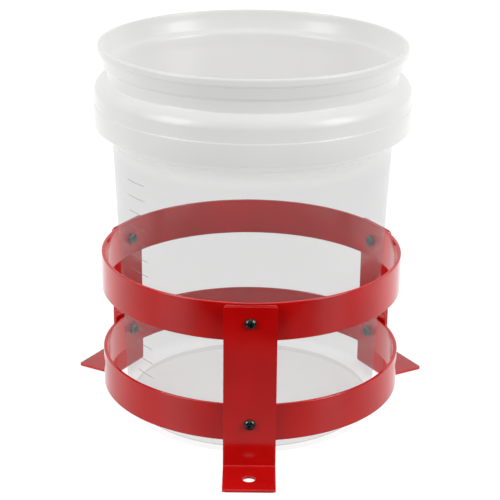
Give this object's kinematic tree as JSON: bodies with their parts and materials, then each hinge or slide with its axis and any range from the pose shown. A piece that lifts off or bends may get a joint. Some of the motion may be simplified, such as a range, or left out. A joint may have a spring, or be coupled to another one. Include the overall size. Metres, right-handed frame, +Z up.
{
  "type": "feed bucket in floor stand",
  "caption": "Round moulded plastic feed pail that stands in a bolted steel floor stand of rolled hoops on bent legs with anchor feet, and lifts straight out.",
  "frame": {"origin": "on the floor, on the common axis of the hoops and the pail, which is the centre of the circle of anchor holes", "axes": "+Z up, the front leg points towards -Y, +X to the right seen from the front"},
  "size_m": [0.3756, 0.3598, 0.385],
  "materials": {
    "red_powder_coat": "glossy powder coat",
    "black_oxide": "oiled black oxide",
    "nylon": "moulded",
    "pail_plastic": "translucent natural polyethylene"
  },
  "bodies": {
    "stand": {"upper_hoop": "red_powder_coat", "lower_hoop": "red_powder_coat", "front_leg": "red_powder_coat", "left_leg": "red_powder_coat", "right_leg": "red_powder_coat", "front_upper_screw": "black_oxide", "front_upper_nut": "black_oxide", "front_upper_insert": "nylon", "front_lower_screw": "black_oxide", "front_lower_nut": "black_oxide", "front_lower_insert": "nylon", "left_upper_screw": "black_oxide", "left_upper_nut": "black_oxide", "left_upper_insert": "nylon", "left_lower_screw": "black_oxide", "left_lower_nut": "black_oxide", "left_lower_insert": "nylon", "right_upper_screw": "black_oxide", "right_upper_nut": "black_oxide", "right_upper_insert": "nylon", "right_lower_screw": "black_oxide", "right_lower_nut": "black_oxide", "right_lower_insert": "nylon"},
    "pail": {"bucket": "pail_plastic"}
  },
  "joints": [
    {"name": "bucket_lift", "type": "slide", "parent": "stand", "child": "pail", "axis": [0, 0, 1], "range_m": [0, 0.2]}
  ]
}
